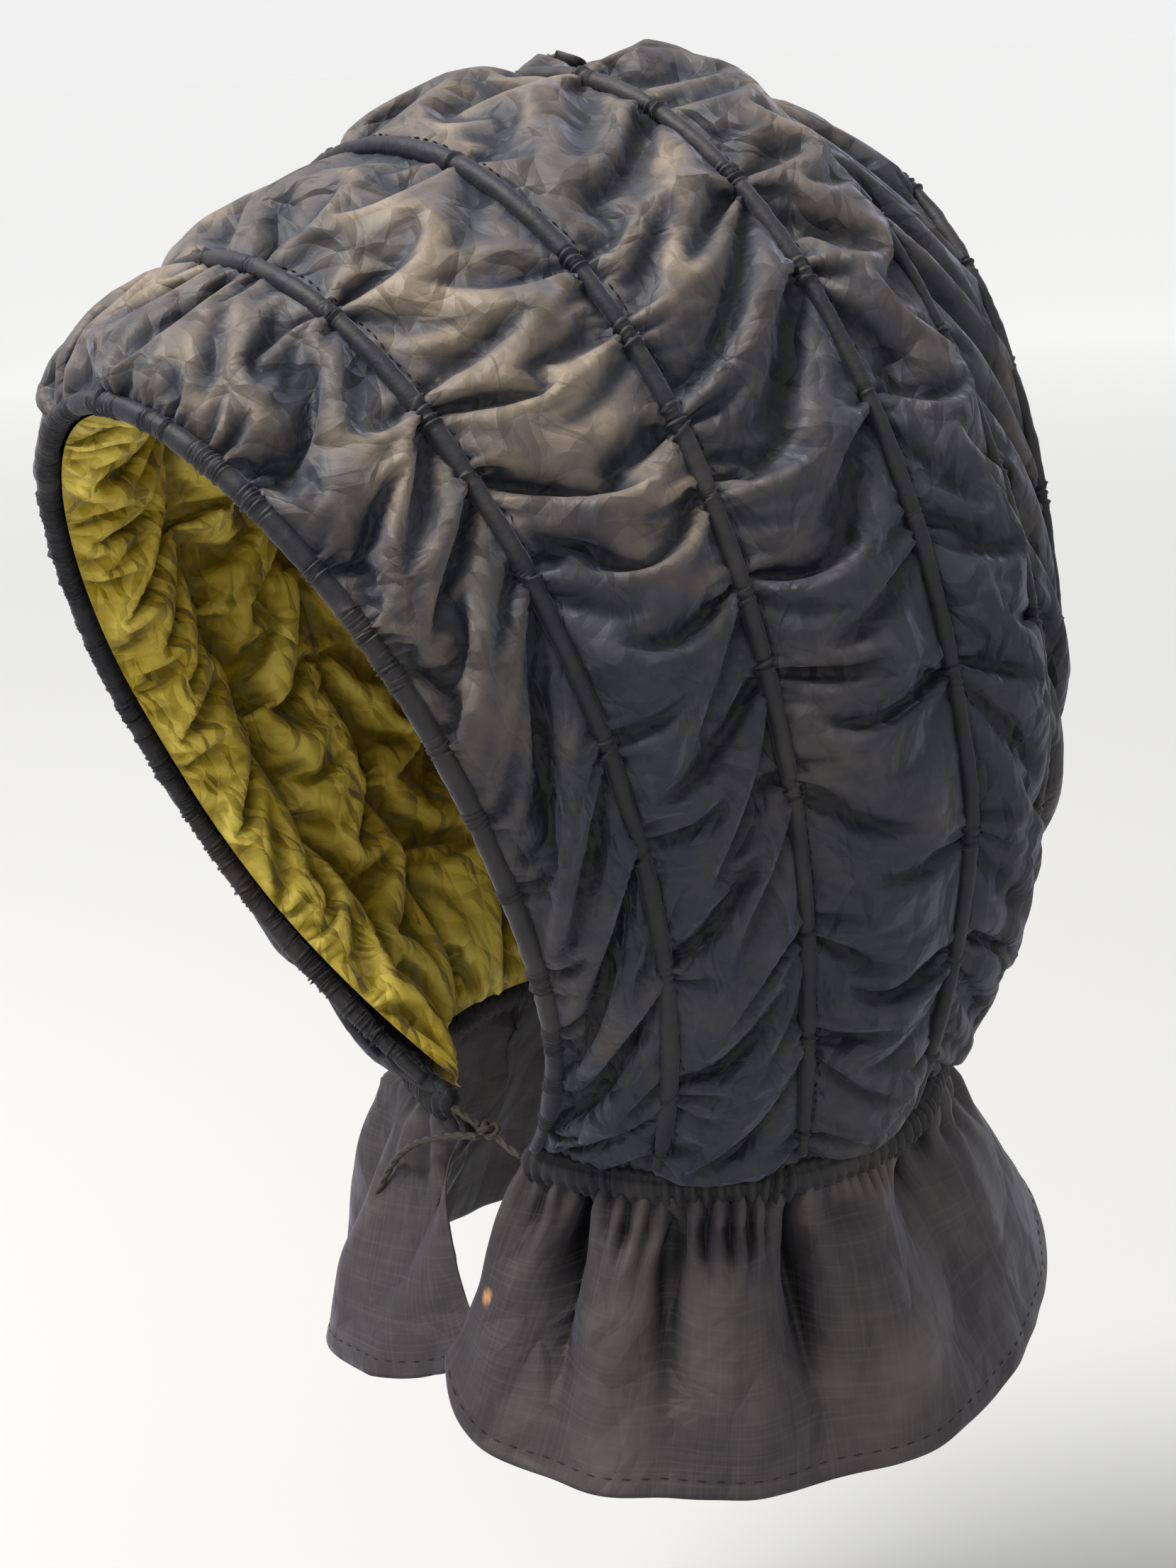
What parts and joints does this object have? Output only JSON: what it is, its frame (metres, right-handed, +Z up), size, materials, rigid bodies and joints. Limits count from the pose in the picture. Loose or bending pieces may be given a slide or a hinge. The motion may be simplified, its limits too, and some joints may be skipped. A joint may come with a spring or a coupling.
{
  "type": "calash",
  "caption": "Folding hooped bonnet: a deep silk hood carried on cane hoops, gathered into a tied neck casing with a flared curtain over the shoulders.",
  "frame": {"origin": "the point under the crown where the wearer's head bears on the lining", "axes": "+Z up through the crown, along the longest side; the face looks to -Y; the wearer's left is +X; metres"},
  "size_m": [0.2841, 0.3324, 0.4272],
  "materials": {
    "dark_silk": "near-black silk taffeta, crisp and softly lustrous, browned in patches",
    "casing_silk": "the same silk drawn tight over cane and gathered round the neck",
    "yellow_silk": "bright yellow silk taffeta, crumpled",
    "curtain_silk": "plain-woven charcoal silk, matt, with a stitched hem",
    "tie_cord": "olive-brown twisted silk cord"
  },
  "bodies": {
    "root": {"rim_hoop": "casing_silk", "hoop_2": "casing_silk", "hoop_3": "casing_silk", "hoop_4": "casing_silk", "hoop_5": "casing_silk", "hoop_6": "casing_silk", "silk_cover": "dark_silk", "lining": "yellow_silk", "neck_casing": "casing_silk", "neck_curtain": "curtain_silk", "tie_left": "tie_cord", "tie_right": "tie_cord", "tie_knot": "tie_cord", "tie_end": "tie_cord"}
  },
  "joints": []
}
